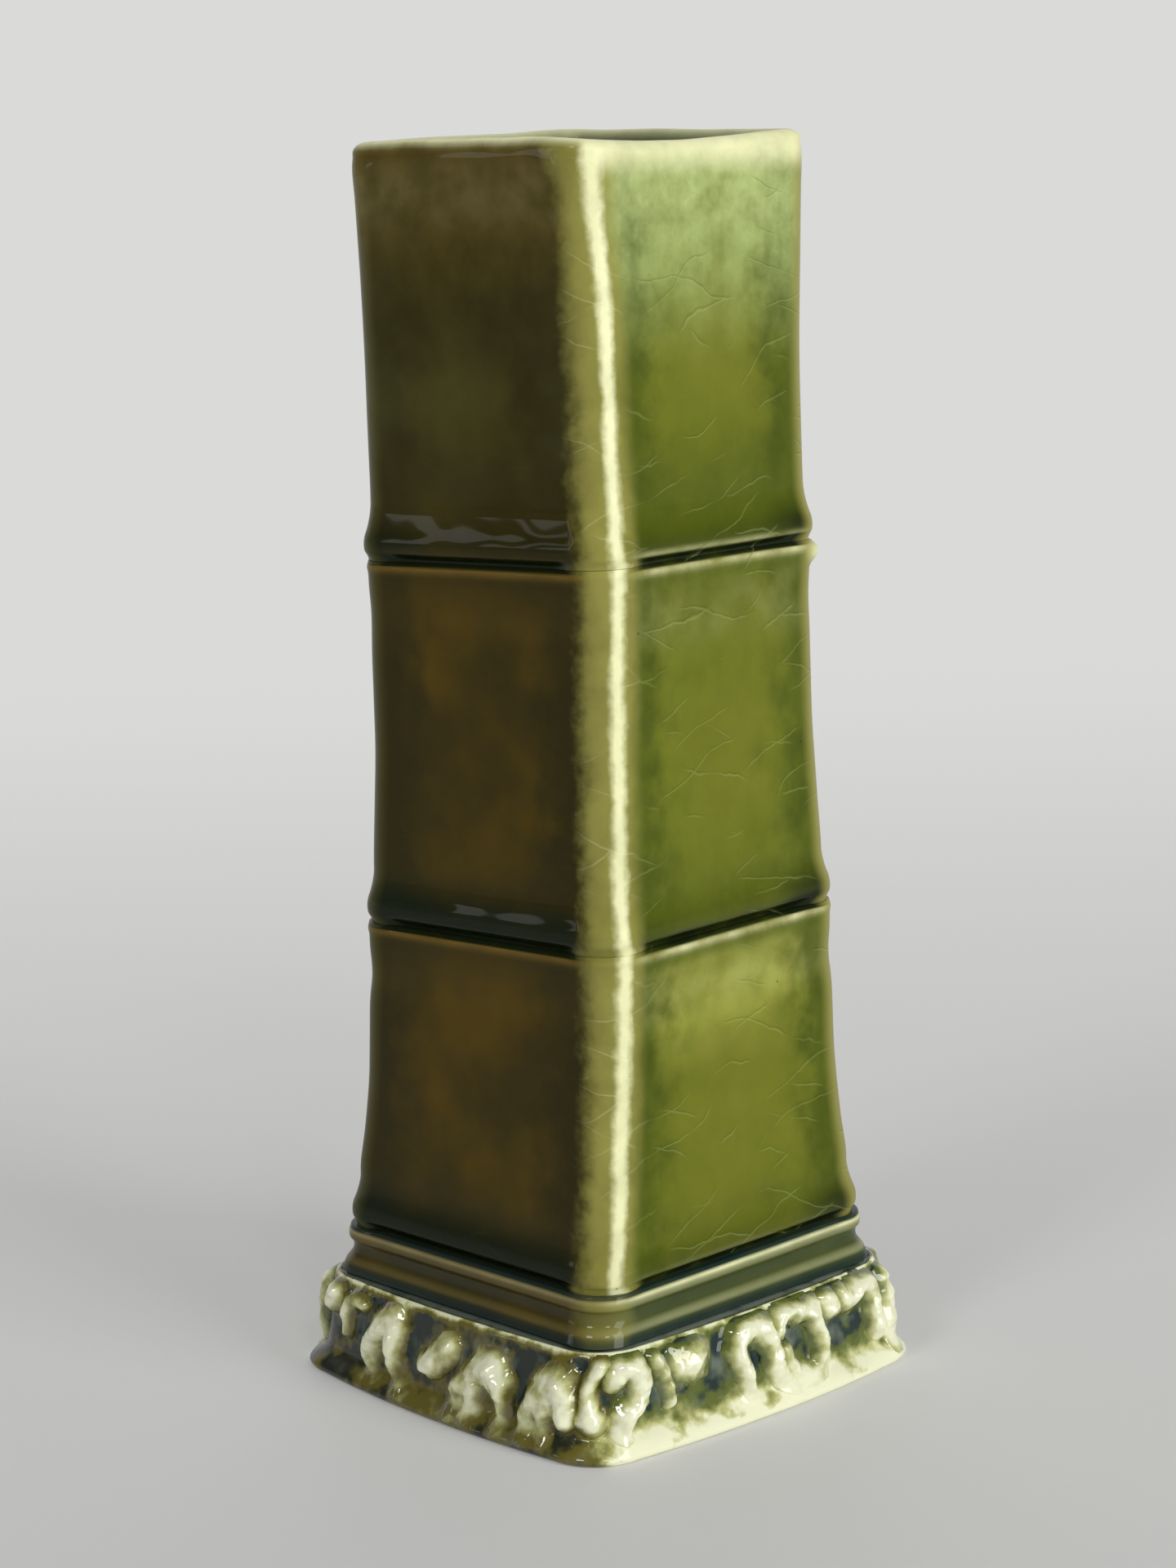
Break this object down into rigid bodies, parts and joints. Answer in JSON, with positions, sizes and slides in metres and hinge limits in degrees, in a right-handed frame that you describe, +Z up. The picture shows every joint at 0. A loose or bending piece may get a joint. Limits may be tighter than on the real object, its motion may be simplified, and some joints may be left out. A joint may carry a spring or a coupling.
{
  "type": "square bamboo-form flower vase",
  "caption": "Tall square tapering flower vase in glossy green glaze, shaped as bamboo culm sections on a collar and a flared plinth with applied root ornament.",
  "frame": {"origin": "middle of the underside, on the plane that the foot stands on", "axes": "+Z up the vase to its mouth, -Y out of the front face, +X out of the right face"},
  "size_m": [0.0872, 0.0872, 0.22],
  "materials": {
    "culm_glaze": "glossy translucent olive-green glaze, crazed, breaking to cream at the corners",
    "collar_glaze": "glossy deep olive glaze, paler along the mouldings",
    "plinth_glaze": "glossy pooled blue-green glaze",
    "root_glaze": "glossy thin yellow-green glaze over cream",
    "foot_glaze": "thin pale glaze wiped back to the cream body at the bottom edge",
    "well_glaze": "glossy dark green glaze"
  },
  "bodies": {
    "root": {"foot_rim": "foot_glaze", "floor_slab": "well_glaze", "root_plinth": "plinth_glaze", "collar": "collar_glaze", "lower_section": "culm_glaze", "middle_section": "culm_glaze", "upper_section": "culm_glaze", "front_root_1": "root_glaze", "front_root_2": "root_glaze", "front_root_3": "root_glaze", "front_root_4": "root_glaze", "front_stem": "root_glaze", "front_knob_1": "root_glaze", "front_knob_2": "root_glaze", "right_hook": "root_glaze", "right_root_1": "root_glaze", "right_root_2": "root_glaze", "right_root_3": "root_glaze", "right_stem": "root_glaze", "right_knob_1": "root_glaze", "right_knob_2": "root_glaze", "back_root_1": "root_glaze", "back_root_2": "root_glaze", "back_root_3": "root_glaze", "back_root_4": "root_glaze", "back_stem": "root_glaze", "back_knob_1": "root_glaze", "back_knob_2": "root_glaze", "left_hook": "root_glaze", "left_root_1": "root_glaze", "left_root_2": "root_glaze", "left_root_3": "root_glaze", "left_stem": "root_glaze", "left_knob_1": "root_glaze", "left_knob_2": "root_glaze"}
  },
  "joints": []
}
